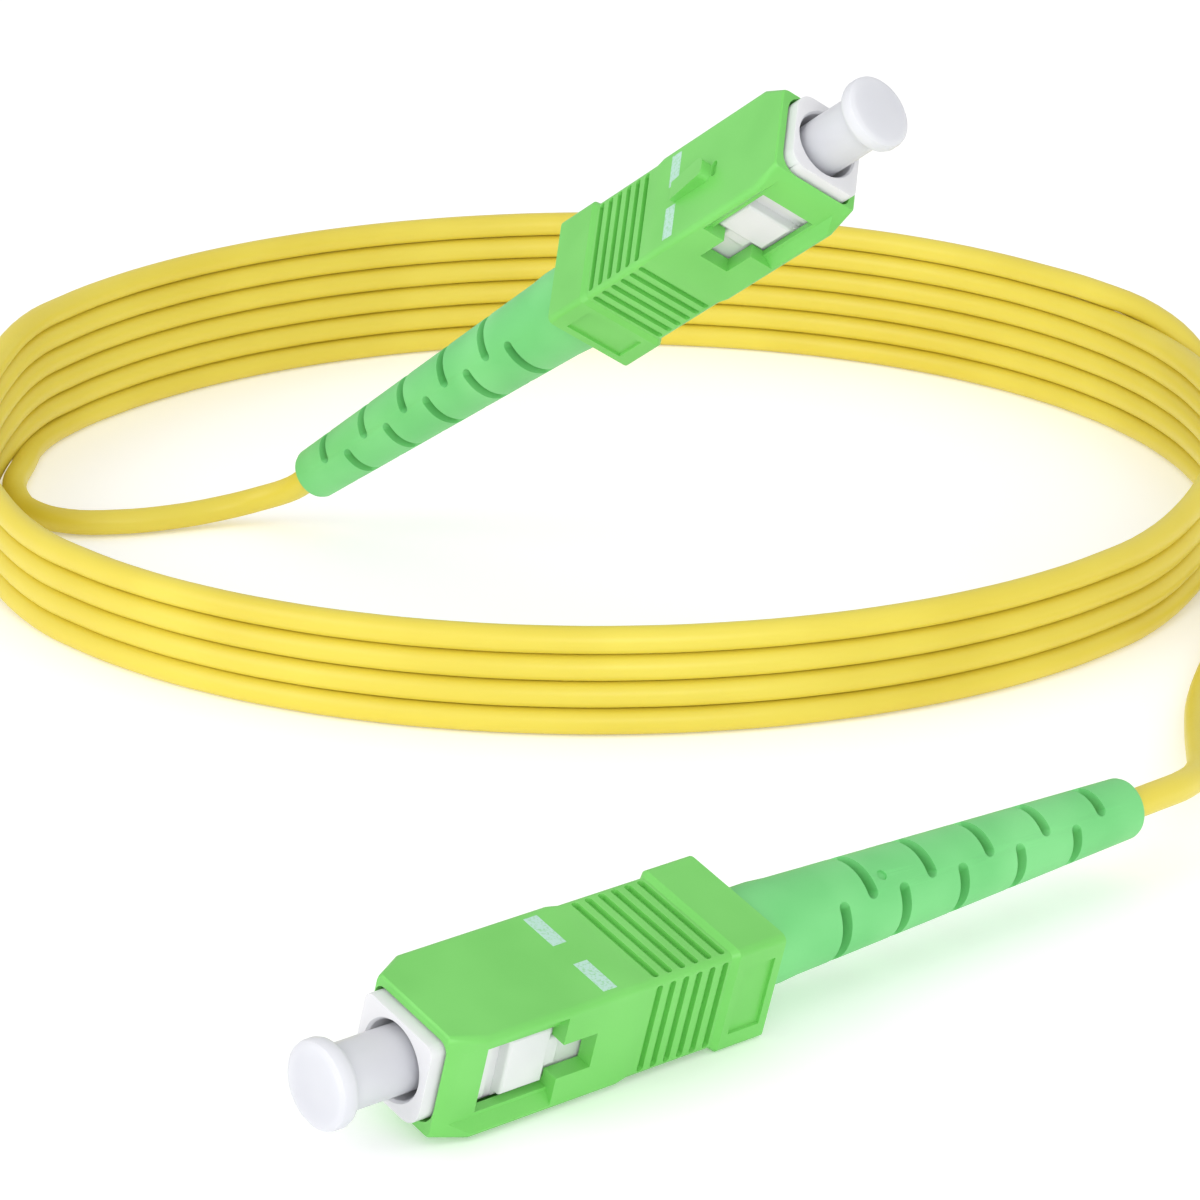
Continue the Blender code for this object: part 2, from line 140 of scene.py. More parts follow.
def feed_shader(tree: bpy.types.NodeTree, shader: bpy.types.Node,
                **sources: bpy.types.NodeSocket) -> None:
    """Link patterns to a shader's sockets.

    Args:
        tree: The material's node tree.
        shader: The Principled shader.
        **sources: Output sockets by socket name, with underscores for spaces.
    """
    for key, source in sources.items():
        tree.links.new(source, shader.inputs[key.replace("_", " ")])


def tones(dark: str, light: str, low: float = 0.35, high: float = 0.65) -> dict:
    """Set a ramp from a dark tone to a light one.

    Args:
        dark: sRGB hex colour at and under the low end.
        light: sRGB hex colour at and over the high end.
        low: Where on the pattern the blend starts.
        high: Where it ends.

    Returns:
        Settings of a ramp node.
    """
    return {"stops": ((low, linear(dark)), (high, linear(light)))}


def spread(ends: tuple[float, float]) -> dict:
    """Set the two numbers that a pattern's 0 and 1 are mapped to.

    Args:
        ends: The number at 0 and the number at 1.

    Returns:
        Settings of a range node.
    """
    return {"To Min": ends[0], "To Max": ends[1]}


def pattern(tree: bpy.types.NodeTree, size_mm: float, detail: float,
            stretch: tuple[float, float, float] = (1.0, 1.0, 1.0)) -> bpy.types.NodeSocket:
    """Lay an uneven pattern on the piece, with features of a real size.

    Args:
        tree: The material's node tree.
        size_mm: Size of one feature.
        detail: How many finer layers it has.
        stretch: Scale along each axis.

    Returns:
        A socket from 0 to 1.
    """
    place = add_node(tree, "ShaderNodeTexCoord").outputs["Object"]
    mapped = add_node(tree, "ShaderNodeMapping", {"Scale": stretch}, {"Vector": place})
    noise = add_node(tree, "ShaderNodeTexNoise", {"Scale": 1 / (size_mm * MM), "Detail": detail},
                     {"Vector": mapped.outputs["Vector"]})
    return noise.outputs["Fac"]


# ---- finishes ----------------------------------------------------------------------------------------
@dataclass(frozen=True)
class MouldedPlastic:
    """Injection-moulded thermoplastic: even colour, satin skin from a fine spark-eroded mould."""

    name: str
    light: str
    dark: str
    roughness: tuple[float, float]
    grain_mm: float
    bump: float
    glow: float
    glow_mm: float
    coat: float = 0.0
    coat_roughness: float = 0.15
    ior: float = 1.5
    flow_mm: float = 5.0
    bump_mm: float = 0.02

    def material(self) -> bpy.types.Material:
        """Build the material.

        Returns:
            Flow clouds of a few millimetres in the colour, mould grain in roughness and bump, and a
            little light inside the skin, as filled plastics show at thin edges.
        """
        made, tree, shader = start_material(self.name)
        colour = add_node(tree, "ShaderNodeValToRGB", tones(self.dark, self.light),
                          {"Fac": pattern(tree, self.flow_mm, 1.0)})
        grain = pattern(tree, self.grain_mm, 3.0)
        gloss = add_node(tree, "ShaderNodeMapRange", spread(self.roughness), {"Value": grain})
        bump = add_node(tree, "ShaderNodeBump", {"Strength": self.bump, "Distance": self.bump_mm * MM},
                        {"Height": grain})
        feed_shader(tree, shader, Base_Color=colour.outputs["Color"], Roughness=gloss.outputs["Result"],
                    Normal=bump.outputs["Normal"])
        set_shader(shader, IOR=self.ior, Subsurface_Weight=self.glow, Subsurface_Scale=self.glow_mm * MM,
                   Subsurface_Radius=(1.0, 1.0, 1.0), Coat_Weight=self.coat,
                   Coat_Roughness=self.coat_roughness)
        return made


@dataclass(frozen=True)
class ExtrudedJacket:
    """Extruded PVC jacket: smooth and softly glossy, with faint streaks of pigment."""

    name: str
    light: str
    dark: str
    roughness: tuple[float, float]
    ior: float = 1.53
    drift_mm: float = 14.0
    skin_mm: float = 0.35
    bump: float = 0.25
    bump_mm: float = 0.03
    glow: float = 0.12
    glow_mm: float = 0.5
    glow_reach: tuple[float, float, float] = (1.0, 0.8, 0.3)

    def material(self) -> bpy.types.Material:
        """Build the material.

        Returns:
            A slow drift of tone along the cord, and fine drag marks from the die in gloss and bump.
        """
        made, tree, shader = start_material(self.name)
        colour = add_node(tree, "ShaderNodeValToRGB", tones(self.dark, self.light),
                          {"Fac": pattern(tree, self.drift_mm, 2.0)})
        skin = pattern(tree, self.skin_mm, 4.0)
        gloss = add_node(tree, "ShaderNodeMapRange", spread(self.roughness), {"Value": skin})
        bump = add_node(tree, "ShaderNodeBump", {"Strength": self.bump, "Distance": self.bump_mm * MM},
                        {"Height": skin})
        feed_shader(tree, shader, Base_Color=colour.outputs["Color"], Roughness=gloss.outputs["Result"],
                    Normal=bump.outputs["Normal"])
        set_shader(shader, IOR=self.ior, Subsurface_Weight=self.glow, Subsurface_Scale=self.glow_mm * MM,
                   Subsurface_Radius=self.glow_reach)
        return made


@dataclass(frozen=True)
class PadInk:
    """Pad-printed ink: a thin chalky film that lets the plastic through in specks."""

    name: str
    ink: str
    under: str
    roughness: tuple[float, float] = (0.65, 0.5)
    speck_mm: float = 0.16

    def material(self) -> bpy.types.Material:
        """Build the material.

        Returns:
            Specks where the ink is thin, a little rougher than the ink.
        """
        made, tree, shader = start_material(self.name)
        specks = pattern(tree, self.speck_mm, 3.0)
        colour = add_node(tree, "ShaderNodeValToRGB", tones(self.under, self.ink, 0.3, 0.52),
                          {"Fac": specks})
        gloss = add_node(tree, "ShaderNodeMapRange", spread(self.roughness), {"Value": specks})
        feed_shader(tree, shader, Base_Color=colour.outputs["Color"], Roughness=gloss.outputs["Result"])
        return made


@dataclass(frozen=True)
class TurnedMetal:
    """Turned and plated or drawn metal: bright, with fine tool marks."""

    name: str
    light: str
    dark: str
    roughness: tuple[float, float]
    mark_mm: float = 0.08

    def material(self) -> bpy.types.Material:
        """Build the material.

        Returns:
            Tool marks in tone and gloss, drawn coarse enough to show.
        """
        made, tree, shader = start_material(self.name)
        marks = pattern(tree, self.mark_mm, 2.0)
        colour = add_node(tree, "ShaderNodeValToRGB", tones(self.dark, self.light), {"Fac": marks})
        gloss = add_node(tree, "ShaderNodeMapRange", spread(self.roughness), {"Value": marks})
        feed_shader(tree, shader, Base_Color=colour.outputs["Color"], Roughness=gloss.outputs["Result"])
        set_shader(shader, Metallic=1.0)
        return made


@dataclass(frozen=True)
class Strands:
    """Loose yarn: bundles of fine strands in shades of straw."""

    name: str
    light: str
    dark: str
    roughness: float = 0.7
    sheen: float = 0.3
    bundle_mm: float = 0.1
    along: tuple[float, float, float] = (1.0, 0.3, 1.0)
    bump: float = 0.6
    bump_mm: float = 0.05

    def material(self) -> bpy.types.Material:
        """Build the material.

        Returns:
            Long bundles of strands in tone and bump, with a soft sheen.
        """
        made, tree, shader = start_material(self.name)
        strands = pattern(tree, self.bundle_mm, 4.0, self.along)
        colour = add_node(tree, "ShaderNodeValToRGB", tones(self.dark, self.light), {"Fac": strands})
        bump = add_node(tree, "ShaderNodeBump", {"Strength": self.bump, "Distance": self.bump_mm * MM},
                        {"Height": strands})
        feed_shader(tree, shader, Base_Color=colour.outputs["Color"], Normal=bump.outputs["Normal"])
        set_shader(shader, Roughness=self.roughness, Sheen_Weight=self.sheen)
        return made


Finish = MouldedPlastic | ExtrudedJacket | PadInk | TurnedMetal | Strands

# PBT from a spark-eroded mould: even, satin, with edges that hardly shine
GREEN_PBT = MouldedPlastic("green_pbt_moulded", light="76CC62", dark="70C65C", roughness=(0.34, 0.46),
                           grain_mm=0.12, bump=0.25, glow=0.10, glow_mm=0.5)
# soft thermoplastic elastomer: cooler green, more matt than the housing, light bleeds a little into it
MINT_TPE = MouldedPlastic("mint_tpe_moulded", light="7CD383", dark="6EC977", roughness=(0.48, 0.60),
                          grain_mm=0.18, bump=0.35, glow=0.05, glow_mm=0.4)
# unpigmented white PBT: slightly glossy, soft shadows inside
WHITE_PBT = MouldedPlastic("white_pbt_moulded", light="E2E2E4", dark="DADADD", roughness=(0.30, 0.42),
                           grain_mm=0.15, bump=0.15, glow=0.25, glow_mm=0.8)
# low-density polyethylene without pigment: milky, waxy, light passes far into it
MILKY_PE = MouldedPlastic("milky_polyethylene_moulded", light="D3D4D9", dark="C9CAD1",
                          roughness=(0.36, 0.48), grain_mm=0.4, bump=0.10, glow=0.60, glow_mm=2.0)
# plasticised PVC drawn through a die: an even skin with a broad soft highlight
YELLOW_PVC = ExtrudedJacket("yellow_pvc_extruded", light="E3D14C", dark="DCC842", roughness=(0.36, 0.50))
# pad-printed ink, so thin that the green shows through in specks
PALE_INK = PadInk("pale_pad_ink", ink="B4D9CB", under="8FCC96")
# nickel on turned brass: warm grey metal with tool marks
NICKEL = TurnedMetal("nickel_plated_brass_turned", light="CFCBC2", dark="B9B4A8", roughness=(0.20, 0.32))
# drawn stainless spring wire: cold grey, bright
SPRING_STEEL = TurnedMetal("stainless_wire_drawn", light="C9CACC", dark="AEB0B3", roughness=(0.22, 0.34))
# polished zirconia ceramic: ivory white and glassy
ZIRCONIA = MouldedPlastic("zirconia_polished", light="F0EDE4", dark="E8E5DB", roughness=(0.06, 0.14),
                          grain_mm=0.2, bump=0.03, glow=0.4, glow_mm=0.8, coat=0.5)
# drawn silica fibre: smooth as glass, cold tint
SILICA = MouldedPlastic("silica_drawn", light="E4F0F6", dark="D6E6EE", roughness=(0.03, 0.06),
                        grain_mm=0.1, bump=0.02, glow=0.2, glow_mm=0.1, coat=0.3)
# extruded PTFE: waxy white tube
PTFE = MouldedPlastic("ptfe_tube_extruded", light="E8E8E6", dark="DDDDDA", roughness=(0.40, 0.52),
                      grain_mm=0.2, bump=0.1, glow=0.5, glow_mm=1.0)
# tight white buffer on the fibre: matt nylon skin
BUFFER = MouldedPlastic("white_buffer_extruded", light="EFEFEB", dark="E5E5E0", roughness=(0.38, 0.48),
                        grain_mm=0.2, bump=0.1, glow=0.2, glow_mm=0.4)
# aramid yarn: straw-coloured silky bundles
ARAMID = Strands("aramid_yarn_loose", light="E8CF7A", dark="C9A94A")

NODE_FINISHES: dict[str, Finish] = {
    "ferrule": ZIRCONIA, "glass_fibre": SILICA, "ferrule_flange": NICKEL, "buffered_fibre": BUFFER,
    "stop_ring": NICKEL, "guide_tube": PTFE, "aramid_yarn": ARAMID, "crimp_ring": NICKEL,
    "jacket_end": YELLOW_PVC,
}


class Wardrobe:
    """Keeps one built material for each finish."""

    def __init__(self) -> None:
        """Start with nothing built."""
        self.built: dict[str, bpy.types.Material] = {}

    def dress(self, piece: bpy.types.Object, finish: Finish) -> None:
        """Give a piece a finish in every slot that it has, or in a new one.

        Args:
            piece: A mesh or curve object.
            finish: What the piece is made of.
        """
        if finish.name not in self.built:
            self.built[finish.name] = finish.material()
        if piece.material_slots:
            for place in piece.material_slots:
                place.material = self.built[finish.name]
        else:
            piece.data.materials.append(self.built[finish.name])


# ---- modelling helpers -------------------------------------------------------------------------------
QUARTER = math.pi / 2
MERGE_MM = 0.002
FLAT_DEGREES = 1.0


def pick(piece: bpy.types.Object) -> None:
    """Leave object mode's selection with one piece, active.

    Args:
        piece: The object to select.
    """
    if bpy.context.mode != "OBJECT":
        bpy.ops.object.mode_set(mode="OBJECT")
    bpy.ops.object.select_all(action="DESELECT")
    piece.select_set(True)
    bpy.context.view_layer.objects.active = piece


@contextmanager
def editing(piece: bpy.types.Object, mode: str = "FACE") -> Iterator[None]:
    """Edit one piece's mesh.

    Args:
        piece: The mesh object.
        mode: Select mode, VERT, EDGE or FACE.

    Yields:
        Nothing; edit mode lasts as long as the block.
    """
    pick(piece)
    bpy.ops.object.mode_set(mode="EDIT")
    bpy.ops.mesh.select_mode(type=mode)
    yield
    bpy.ops.object.mode_set(mode="OBJECT")


def select_faces(piece: bpy.types.Object, wanted: Callable[[bmesh.types.BMFace], bool]) -> None:
    """In edit mode, select just the faces that pass a test.

    Args:
        piece: The mesh object in edit mode.
        wanted: Test of a face.
    """
    shape = bmesh.from_edit_mesh(piece.data)
    for face in shape.faces:
        face.select_set(wanted(face))
    bmesh.update_edit_mesh(piece.data)


def select_edges(piece: bpy.types.Object, wanted: Callable[[Vector, Vector], bool]) -> None:
    """In edit mode, select just the edges that pass a test.

    Args:
        piece: The mesh object in edit mode.
        wanted: Test of an edge's two ends, in millimetres.
    """
    shape = bmesh.from_edit_mesh(piece.data)
    for edge in shape.edges:
        edge.select_set(wanted(*(vert.co / MM for vert in edge.verts)))
    bmesh.update_edit_mesh(piece.data)


def face_outwards() -> None:
    """In edit mode, turn every face of the closed shape outwards."""
    bpy.ops.mesh.select_all(action="SELECT")
    bpy.ops.mesh.normals_make_consistent(inside=False)


def new_piece(name: str) -> bpy.types.Object:
    """Name the object that an operator just added and set its place into its mesh.

    Args:
        name: The object's name.

    Returns:
        The object, at the origin.
    """
    piece = bpy.context.active_object
    piece.name = piece.data.name = name
    bpy.ops.object.transform_apply(location=True, rotation=True, scale=True)
    return piece


def add_block(name: str, spans: Sequence[tuple[float, float]]) -> bpy.types.Object:
    """Add a box between limits on each axis.

    Args:
        name: The object's name.
        spans: Two limits along X, Y and Z in millimetres, in either order.

    Returns:
        The box, ready to be shaped.
    """
    middle = [(first + last) / 2 * MM for first, last in spans]
    size = [abs(last - first) * MM for first, last in spans]
    bpy.ops.mesh.primitive_cube_add(size=1.0, location=middle, scale=size)
    return new_piece(name)


def round_edges(piece: bpy.types.Object, radius: float, segments: int,
                wanted: Callable[[Vector, Vector], bool]) -> None:
    """Round the edges that pass a test.

    Args:
        piece: The mesh object.
        radius: Radius in millimetres.
        segments: Flats across the rounding.
        wanted: Test of an edge's two ends, in millimetres.
    """
    with editing(piece, "EDGE"):
        select_edges(piece, wanted)
        bpy.ops.mesh.bevel(offset=radius * MM, segments=segments, affect="EDGES")


def extrude_through(piece: bpy.types.Object, stations: Sequence[tuple[float, float, float]]) -> None:
    """Pull the selected end face through stations along X.

    Args:
        piece: The object, whose only face is at the first station.
        stations: (x, half width, half height) in millimetres; the first is where the face already is.
    """
    with editing(piece):
        bpy.ops.mesh.select_all(action="SELECT")
        for (last_x, last_y, last_z), (x, wide, high) in zip(stations, stations[1:]):
            bpy.ops.mesh.extrude_region_move(TRANSFORM_OT_translate={"value": ((x - last_x) * MM, 0, 0)})
            bpy.ops.transform.resize(value=(1.0, wide / last_y, high / last_z),
                                     center_override=(x * MM, 0, 0))
        face_outwards()


def turn(name: str, rings: Sequence[tuple[float, float]], steps: int = 64,
         tube: bool = False) -> bpy.types.Object:
    """Model a round piece by pulling a disc through rings along X.

    Args:
        name: The object's name.
        rings: (x, radius) in millimetres, out along the outside and back along the inside.
        steps: Corners of the circle.
        tube: True if the last ring meets the first, so that a hole runs right through.

    Returns:
        The closed round piece.
    """
    x, radius = rings[0]
    bpy.ops.mesh.primitive_circle_add(vertices=steps, radius=radius * MM, fill_type="NGON",
                                      location=(x * MM, 0, 0), rotation=(0, QUARTER, 0))
    piece = new_piece(name)
    extrude_through(piece, [(place, size, size) for place, size in rings])
    if tube:
        with editing(piece):
            select_faces(piece, lambda face: len(face.verts) > 4)
            bpy.ops.mesh.bridge_edge_loops()
            face_outwards()
    return piece


def rounded_bar(name: str, stations: Sequence[tuple[float, float, float]], key_corner: float,
                plain_corner: float, segments: int = 4) -> bpy.types.Object:
    """Model a bar of round-cornered rectangles along X.

    Args:
        name: The object's name.
        stations: (x, half width, half height) in millimetres.
        key_corner: Radius of the two corners on the key side, in millimetres.
        plain_corner: Radius of the two corners on the plain side.
        segments: Flats in each corner.

    Returns:
        The closed bar.
    """
    x, wide, high = stations[0]
    bpy.ops.mesh.primitive_plane_add(size=1.0, location=(x * MM, 0, 0), rotation=(0, QUARTER, 0))
    piece = new_piece(name)
    with editing(piece, "VERT"):
        bpy.ops.mesh.select_all(action="SELECT")
        bpy.ops.transform.resize(value=(1, 2 * wide * MM, 2 * high * MM), center_override=(x * MM, 0, 0))
        for side, radius in ((1, key_corner), (-1, plain_corner)):
            shape = bmesh.from_edit_mesh(piece.data)
            for vert in shape.verts:
                vert.select_set(vert.co.z * side > (high - MERGE_MM) * MM)
            shape.select_flush_mode()
            bmesh.update_edit_mesh(piece.data)
            bpy.ops.mesh.bevel(offset=radius * MM, segments=segments, affect="VERTICES")
    extrude_through(piece, stations)
    return piece


def apply_modifier(piece: bpy.types.Object, kind: str, **settings: object) -> None:
    """Add a modifier with its settings and apply it.

    Args:
        piece: The mesh object.
        kind: Blender's type name of the modifier.
        **settings: The modifier's properties.
    """
    modifier = piece.modifiers.new(kind.lower(), kind)
    for key, value in settings.items():
        setattr(modifier, key, value)
    pick(piece)
    bpy.ops.object.modifier_apply(modifier=modifier.name)


def carve(piece: bpy.types.Object, tool: bpy.types.Object, operation: str = "DIFFERENCE") -> None:
    """Cut a tool from a piece, or join it on, and remove the tool.

    Args:
        piece: What is cut.
        tool: The shape of the cut.
        operation: DIFFERENCE to cut, UNION to join.
    """
    apply_modifier(piece, "BOOLEAN", object=tool, operation=operation, solver="EXACT")
    bpy.data.objects.remove(tool, do_unlink=True)


def shade(piece: bpy.types.Object, sharp: float) -> None:
    """Shade a piece smooth, apart from its sharp edges.

    Args:
        piece: The mesh object.
        sharp: Least angle, in degrees, of an edge that stays sharp.
    """
    pick(piece)
    bpy.ops.object.shade_smooth_by_angle(angle=math.radians(sharp))


def soften(piece: bpy.types.Object, radius: float, segments: int = 3, sharper_than: float = 33.0) -> None:
    """Round a piece's sharp edges and shade it smooth.

    Args:
        piece: The mesh object.
        radius: Width of the rounding in millimetres.
        segments: Flats across the rounding.
        sharper_than: Least angle, in degrees, of the edges that are rounded.
    """
    with editing(piece):
        bpy.ops.mesh.select_all(action="SELECT")
        bpy.ops.mesh.remove_doubles(threshold=MERGE_MM * MM)
        bpy.ops.mesh.dissolve_limited(angle_limit=math.radians(FLAT_DEGREES))
    apply_modifier(piece, "BEVEL", width=radius * MM, segments=segments, limit_method="ANGLE",
                   angle_limit=math.radians(sharper_than), use_clamp_overlap=True)
    shade(piece, 50.0)
    apply_modifier(piece, "WEIGHTED_NORMAL", weight=100, keep_sharp=True)


def copy_piece(piece: bpy.types.Object, name: str, move: Matrix) -> bpy.types.Object:
    """Copy a piece with a mesh of its own, moved in its mesh.

    Args:
        piece: What to copy.
        name: The copy's name.
        move: Where the copy's mesh goes.

    Returns:
        The copy.
    """
    twin = piece.copy()
    twin.data = piece.data.copy()
    twin.name = twin.data.name = name
    twin.data.transform(move)
    bpy.context.collection.objects.link(twin)
    return twin


def join_pieces(pieces: Sequence[bpy.types.Object]) -> bpy.types.Object:
    """Join pieces into one object.

    Args:
        pieces: The mesh objects.

    Returns:
        The first one, which holds them all.
    """
    pick(pieces[0])
    for piece in pieces[1:]:
        piece.select_set(True)
    bpy.ops.object.join()
    return pieces[0]


# ---- the plugs ---------------------------------------------------------------------------------------
CLEAR = 1.0  # how far a cutting tool stands out of the skin that it cuts
NEAR = 0.01  # two places this close are the same


def upright(start: Vector, end: Vector) -> bool:
    """Tell whether an edge of a tool runs along Z.

    Args:
        start: One end of the edge.
        end: The other end.

    Returns:
        True for the edges between the tool's floor and top.
    """
    return abs(start.z - end.z) > CLEAR / 2


@dataclass
class PlugPlace:
    """Where one plug lies in the frame, read from its mount and its cap's joint."""

    plug: Plug
    face_behind: float = 8.0
    half_height: float = 3.7

    def matrix(self) -> Matrix:
        """Work out where the plug lies.

        Returns:
            The plug's matrix: X out of the plug, Z the key side, origin in its front face.
        """
        end = self.plug.value
        record = frame["record"]
        joint = next(j for j in record["behaviour"]["joints"] if j["name"] == f"cap_{end}_pull_off")
        mount = next(m for m in record["mounts"] if m["name"] == f"plain_face_{end}")
        forward = Vector(joint["axis"]).normalized()
        key = -Vector(mount["axis"]).normalized()
        front = Vector(mount["pos_m"]) + (self.face_behind * forward + self.half_height * key) * MM
        turned = Matrix((forward, key.cross(forward), key)).transposed().to_4x4()
        return Matrix.Translation(front) @ turned


def lay(piece: bpy.types.Object, place: Matrix, body: str, node: str | None) -> None:
    """Set a finished piece in its place, on its body, and name the node it stands for.

    Args:
        piece: The finished mesh object.
        place: The plug's matrix.
        body: CAD body that it rides on.
        node: CAD node that it replaces, if any.
    """
    piece.data.transform(place)
    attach(piece, body)
    if node:
        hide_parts(node)
    log.info("%s: %d faces on %s", piece.name, len(piece.data.polygons), body)


@dataclass
class OuterHousing:
    """Sliding sleeve: chamfered nose, ribbed waist, flared rear, windows and key.

    A span is (nearer the front, nearer the rear) behind the front face.
    """

    wardrobe: Wardrobe
    length: float = 25.0
    half_width: float = 4.5
    half_height: float = 3.7
    corner: float = 0.4
    edge: float = 0.09
    # the nose: its length, how far its sides lean in, and the small lip round its front
    nose_length: float = 2.2
    nose_inset: float = 1.1
    lip: float = 0.12
    lip_lean: float = 0.06
    # the ribbed waist and the flared block behind it, with the ramp into each
    grip_start: float = 15.0
    waist: float = 0.12
    flare: float = 0.15
    waist_ramp: tuple[float, float] = (1.6, 0.7)
    block_ramp: tuple[float, float] = (0.3, -0.1)
    # finger grooves; half their length on the wide and on the narrow faces
    grooves: int = 6
    groove_pitch: float = 1.04
    groove_width: float = 0.5
    groove_depth: float = 0.38
    groove_round: float = 0.2
    groove_half: tuple[float, float] = (3.95, 3.2)
    # half width and half height of the tunnel, its corners, and how far it runs into the rear bore
    tunnel: tuple[float, float] = (3.35, 3.1)
    tunnel_corners: tuple[float, float] = (1.4, 0.7)
    tunnel_overlap: float = 0.4
    rear_bore: tuple[float, float] = (3.45, 3.0)
    # side recess: length, half height, depth, how much taller its tool is outside, and the tool's depth
    recess: tuple[float, float, float, float] = (8.2, 2.55, 0.65, 1.8)
    recess_reach: float = 2.0
    # latch window and the narrow slot behind it: span and half height
    windows: tuple[tuple[float, float, float], ...] = ((2.8, 8.2, 2.3), (8.1, 10.8, 1.25))
    window_reach: tuple[float, float] = (2.2, 6.5)
    # sunk panel on the block's side: span, half height and depth
    panel: tuple[float, float, float, float] = (21.9, 24.4, 2.5, 0.22)
    # key: span, half width, height, rounding, how far it is sunk in the wall, and its rear's drop
    key: tuple[float, float, float, float] = (7.4, 11.4, 0.8, 0.9)
    key_round: float = 0.55
    key_root: float = 0.3
    key_drop: float = 0.5
    # notch before the key: its two ends ahead of the key's front, its share of the width, and its depth
    notch: tuple[float, float, float, float] = (0.02, 0.62, 0.8, 0.28)
    notch_round: float = 0.25
    # printed mark: span, and its two ends from the middle; then the ink's depth, height and edge
    mark: tuple[float, float, float, float] = (11.2, 12.25, 0.95, 3.8)
    film: tuple[float, float, float] = (0.05, 0.012, 0.008)

    def stations(self) -> list[tuple[float, float, float]]:
        """Work out the outline along the axis.

        Returns:
            (x, half width, half height) from the front face to the rear face.
        """
        wide, high = self.half_width, self.half_height
        narrow = wide - self.nose_inset
        waist_wide, waist_high = wide - self.waist, high - self.waist
        block_wide, block_high = wide + self.flare, high + self.flare
        block_start = -self.grip_start - self.grooves * self.groove_pitch
        return [(0.0, narrow, high - self.lip), (-self.lip, narrow + self.lip_lean, high),
                (-self.nose_length, wide, high), (-self.grip_start + self.waist_ramp[0], wide, high),
                (-self.grip_start + self.waist_ramp[1], waist_wide, waist_high),
                (block_start + self.block_ramp[0], waist_wide, waist_high),
                (block_start + self.block_ramp[1], block_wide, block_high),
                (-self.length, block_wide, block_high)]

    def cut_grooves(self, housing: bpy.types.Object) -> None:
        """Cut the finger grooves into each face, each closed at both ends.

        Args:
            housing: The housing's mesh object.
        """
        cutters = []
        faces = ((0, self.groove_half[0], self.half_height), (90, self.groove_half[1], self.half_width))
        for turned, half, surface in faces:
            floor = surface - self.waist - self.groove_depth
            spans = ((-self.groove_width, 0.0), (-half, half), (floor, floor + CLEAR))
            cutter = add_block("groove_tool", spans)
            round_edges(cutter, self.groove_round, 3, upright)
            for side in (0, 180):
                spin = Matrix.Rotation(math.radians(turned + side), 4, "X")
                for groove in range(self.grooves):
                    place = (-self.grip_start - groove * self.groove_pitch) * MM
                    cutters.append(copy_piece(cutter, "groove", Matrix.Translation((place, 0, 0)) @ spin))
            bpy.data.objects.remove(cutter, do_unlink=True)
        carve(housing, join_pieces(cutters))

    def cut_windows(self, housing: bpy.types.Object) -> None:
        """Cut the recess with sloped sides, the two windows and the panel into both narrow sides.

        Args:
            housing: The housing's mesh object.
        """
        length, recess_half, recess_depth, slope = self.recess
        floor = self.half_width - recess_depth
        inner, outer = self.window_reach
        panel_front, panel_back, panel_half, panel_depth = self.panel
        wall = self.half_width + self.flare
        for side in (-1, 1):
            recess = add_block("recess_tool", ((-length, CLEAR),
                                               (side * floor, side * (floor + self.recess_reach)),
                                               (-recess_half, recess_half)))
            with editing(recess):
                select_faces(recess, lambda face, side=side: face.normal.y * side > 0.9)
                bpy.ops.transform.resize(value=(1, 1, slope), center_override=(0, 0, 0))
            carve(housing, recess)
            for front, back, half in self.windows:
                carve(housing, add_block("window_tool", ((-back, -front), (side * inner, side * outer),
                                                         (-half, half))))
            carve(housing, add_block("panel_tool", ((-panel_back, -panel_front),
                                                    (side * (wall - panel_depth), side * (wall + CLEAR)),
                                                    (-panel_half, panel_half))))

    def add_key(self, housing: bpy.types.Object) -> None:
        """Join the key on: round and blunt in front with a notch before it, run out at its rear.

        Args:
            housing: The housing's mesh object.
        """
        front, back, half, tall = self.key
        top = self.half_height
        key = add_block("key_tool", ((-back, -front), (-half, half), (top - self.key_root, top + tall)))
        round_edges(key, self.key_round, 4, lambda a, b: a.x > -front - NEAR and upright(a, b))
        with editing(key, "EDGE"):
            select_edges(key, lambda a, b: max(a.x, b.x) < -back + NEAR and min(a.z, b.z) > top)
            bpy.ops.transform.translate(value=(0, 0, -self.key_drop * tall * MM))
        carve(housing, key, "UNION")
        near, far, share, deep = self.notch
        notch = add_block("notch_tool", ((-front + near, -front + far), (-half * share, half * share),
                                         (top - deep, top + CLEAR)))
        round_edges(notch, self.notch_round, 3, upright)
        carve(housing, notch)

    def build(self, place: Matrix, plug: Plug) -> None:
        """Model, dress and lay the housing and its printed marks.

        Args:
            place: The plug's matrix.
            plug: Which end of the cord it is on.
        """
        end = plug.value
        housing = rounded_bar(f"housing_skin_{end}", self.stations(), self.corner, self.corner)
        self.add_key(housing)
        radius, depth = self.rear_bore
        tunnel = [(CLEAR, *self.tunnel), (-self.length + depth - self.tunnel_overlap, *self.tunnel)]
        carve(housing, rounded_bar("tunnel_tool", tunnel, *self.tunnel_corners))
        carve(housing, turn("bore_tool", [(-self.length + depth, radius),
                                          (-self.length - CLEAR, radius)]))
        self.cut_windows(housing)
        self.cut_grooves(housing)
        soften(housing, self.edge, segments=2)
        self.wardrobe.dress(housing, GREEN_PBT)
        lay(housing, place, f"housing_{end}", f"outer_housing_{end}")
        self.add_marks(place, plug)

